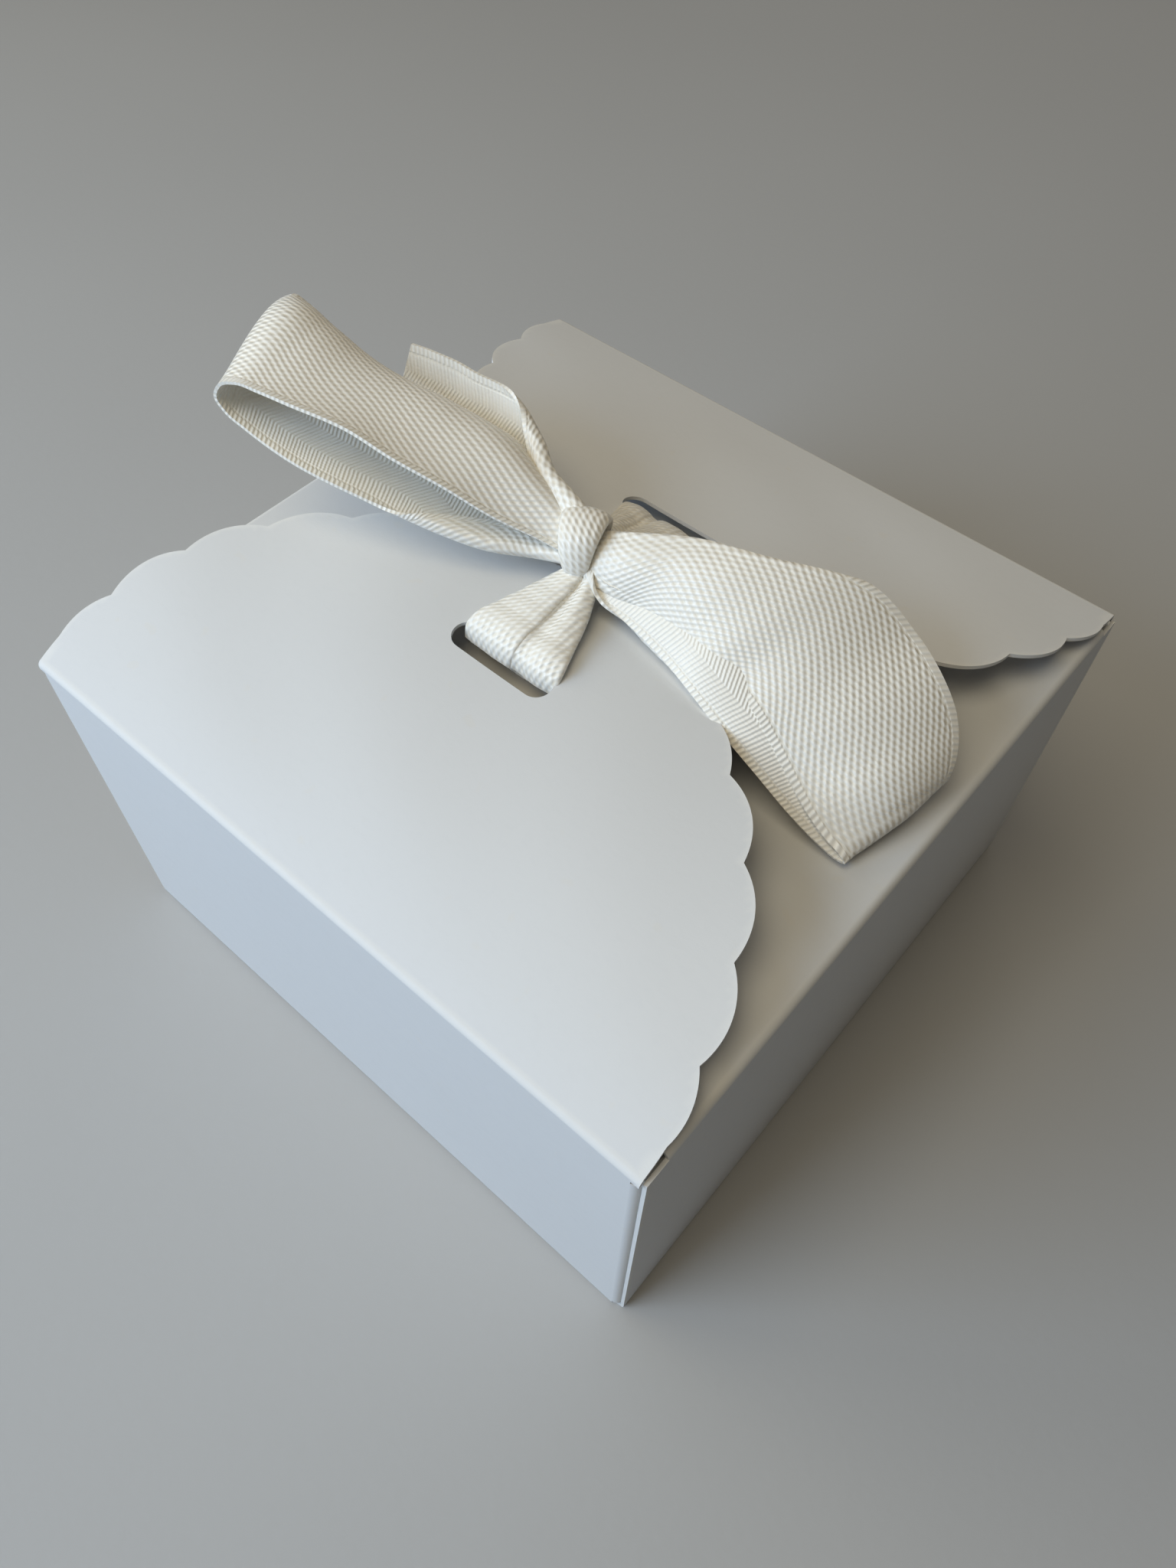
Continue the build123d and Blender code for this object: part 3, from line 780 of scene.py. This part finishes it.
class FAVORBOX_OT_knot(Operator):
    """Models the knot: the ribbon folded narrow and wrapped aslant round the middle of the bow"""
    bl_idname = "favorbox.knot"
    bl_label = "Bow knot"

    MIDDLE = (-1.2, -0.3, 14.6)   # middle of the knot, its height above the crease of the lids
    REACH = (3.0, 2.8)            # half its length and half its height
    SLANT = (0.91, 0.42)          # direction across it, in plan
    DEPTH = 0.75                  # depth of its folds

    def execute(self, context):
        ribbon = context.scene.favorbox_ribbon
        across, slant = self.SLANT
        stations = []
        for turn in np.linspace(-190, 190, 21):
            angle = math.radians(turn)
            ahead = self.REACH[0] * math.sin(angle)
            x, y = self.MIDDLE[0] + slant * ahead, self.MIDDLE[1] - across * ahead
            height = self.MIDDLE[2] + self.REACH[1] * math.cos(angle)
            half = 1.85 + 0.6 * math.cos(angle + 0.6)
            near = (x - across * half, y - slant * half, height)
            far = (x + across * half, y + slant * half, height)
            stations.append((near, far, self.DEPTH))
        loop = []
        for turn in np.linspace(-400, 400, 45):
            inner = 1 - 0.5 * max(0, abs(turn) - 150) / 250
            loop.append((0.5 * inner * math.sin(math.radians(turn)), inner * math.cos(math.radians(turn))))
        path = Path(stations, 1)
        piece = ribbon_piece(ribbon, "knot_ribbon", path, pleats(loop), (72, 120), 0.05, 7.0)
        declare(piece, "front_lid", "bow_knot")
        return {"FINISHED"}


class FAVORBOX_OT_stage(Operator):
    """Sets the floor, the soft light and the camera"""
    bl_idname = "favorbox.stage"
    bl_label = "Stage"

    AIM = (0, 0, 0.03)                              # point of the box that the lamps face, in metres
    AMBIENT = (1.0, 0.95, 0.87, 1)                  # colour of the light all round
    AMBIENT_STRENGTH = 0.07
    CAMERA_PLACE = (59.26, -71.42, 153.46)          # in millimetres
    CAMERA_RIGHT = (0.75521, 0.65526, 0.01700)
    CAMERA_UP = (-0.54375, 0.61178, 0.57451)

    def lamp(self, name, place, size, power, colour):
        """A square soft light that faces the box."""
        data = bpy.data.lights.new(name, "AREA")
        data.shape = "SQUARE"
        data.size = size
        data.energy = power
        data.color = colour
        lamp = bpy.data.objects.new(name, data)
        bpy.context.collection.objects.link(lamp)
        toward = Vector(self.AIM) - Vector(place)
        lamp.matrix_world = Matrix.Translation(place) @ toward.to_track_quat("-Z", "Y").to_matrix().to_4x4()

    def floor(self, stage):
        start()
        bpy.ops.mesh.primitive_plane_add(size=4.0, location=(0, 0, 0))
        floor = named("studio_floor")
        shader = Shader("studio_floor")
        place = shader.node("ShaderNodeTexCoord", output="Object")
        cloud = shader.noise(place, 6, 2.0)
        tooth = shader.noise(place, 700, 2.0)
        colour = shader.mix(cloud, tuple(c * 0.95 for c in stage.floor), tuple(c * 1.05 for c in stage.floor))
        surface = shader.node("ShaderNodeBsdfPrincipled", None, {
            "Base Color": colour, "Roughness": 0.7, "Specular IOR Level": 0.25,
            "Normal": shader.bump(tooth, 0.1 * MM, 0.2)})
        floor.data.materials.append(shader.finish(surface))

    def execute(self, context):
        scene, stage = context.scene, context.scene.favorbox_stage
        self.floor(stage)
        self.lamp("key_light", (-0.20, -0.44, 0.30), 0.35, stage.key, (0.59, 0.77, 1.0))
        self.lamp("side_light", (-0.85, -0.25, 0.50), 0.60, stage.side, (1.0, 0.95, 0.80))
        self.lamp("top_light", (-0.01, -0.19, 0.60), 0.35, stage.top, (1.0, 0.88, 0.64))
        self.lamp("back_light", (-0.20, 0.76, 0.34), 0.60, stage.back, (1.0, 0.95, 0.87))
        world = scene.world or bpy.data.worlds.new("studio")
        scene.world = world
        world.use_nodes = True
        background = world.node_tree.nodes["Background"]
        background.inputs["Color"].default_value = self.AMBIENT
        background.inputs["Strength"].default_value = self.AMBIENT_STRENGTH
        data = bpy.data.cameras.new("photo_camera")
        data.lens, data.sensor_width, data.sensor_fit = stage.lens, 36.0, "AUTO"
        data.clip_start = 0.005
        camera = bpy.data.objects.new("photo_camera", data)
        context.collection.objects.link(camera)
        right, up = Vector(self.CAMERA_RIGHT), Vector(self.CAMERA_UP)
        turn = Matrix((right, up, right.cross(up))).transposed().to_4x4()
        camera.matrix_world = Matrix.Translation(Vector(self.CAMERA_PLACE) * MM) @ turn
        scene.camera = camera
        scene.view_settings.view_transform = "Standard"
        return {"FINISHED"}


STEPS = (FAVORBOX_OT_board, FAVORBOX_OT_lids, FAVORBOX_OT_ribbon_cloth, FAVORBOX_OT_loops, FAVORBOX_OT_tails,
         FAVORBOX_OT_legs, FAVORBOX_OT_knot, FAVORBOX_OT_stage)
GROUPS = {"favorbox_board": FavorBoxBoard, "favorbox_lids": FavorBoxLids, "favorbox_ribbon": FavorBoxRibbon,
          "favorbox_stage": FavorBoxStage}


class FAVORBOX_PT_panel(Panel):
    """Lists the sizes, the colours and the steps of the favor box"""
    bl_idname = "FAVORBOX_PT_panel"
    bl_label = "Favor box"
    bl_space_type = "VIEW_3D"
    bl_region_type = "UI"
    bl_category = "Favor box"

    def draw(self, context):
        for name, group in GROUPS.items():
            column = self.layout.column(heading=group.__doc__)
            for key in group.__annotations__:
                column.prop(getattr(context.scene, name), key)
        for step in STEPS:
            self.layout.operator(step.bl_idname)


def register():
    for group in GROUPS.values():
        bpy.utils.register_class(group)
    for step in STEPS:
        bpy.utils.register_class(step)
    bpy.utils.register_class(FAVORBOX_PT_panel)
    for name, group in GROUPS.items():
        setattr(bpy.types.Scene, name, PointerProperty(type=group))


def unregister():
    for name in GROUPS:
        delattr(bpy.types.Scene, name)
    bpy.utils.unregister_class(FAVORBOX_PT_panel)
    for step in reversed(STEPS):
        bpy.utils.unregister_class(step)
    for group in reversed(tuple(GROUPS.values())):
        bpy.utils.unregister_class(group)


def main():
    register()
    bpy.ops.favorbox.board()
    bpy.ops.favorbox.lids()
    bpy.ops.favorbox.ribbon_cloth()
    bpy.ops.favorbox.loops()
    bpy.ops.favorbox.tails()
    bpy.ops.favorbox.legs()
    bpy.ops.favorbox.knot()
    bpy.ops.favorbox.stage()
    start()


if __name__ == "__main__":
    main()
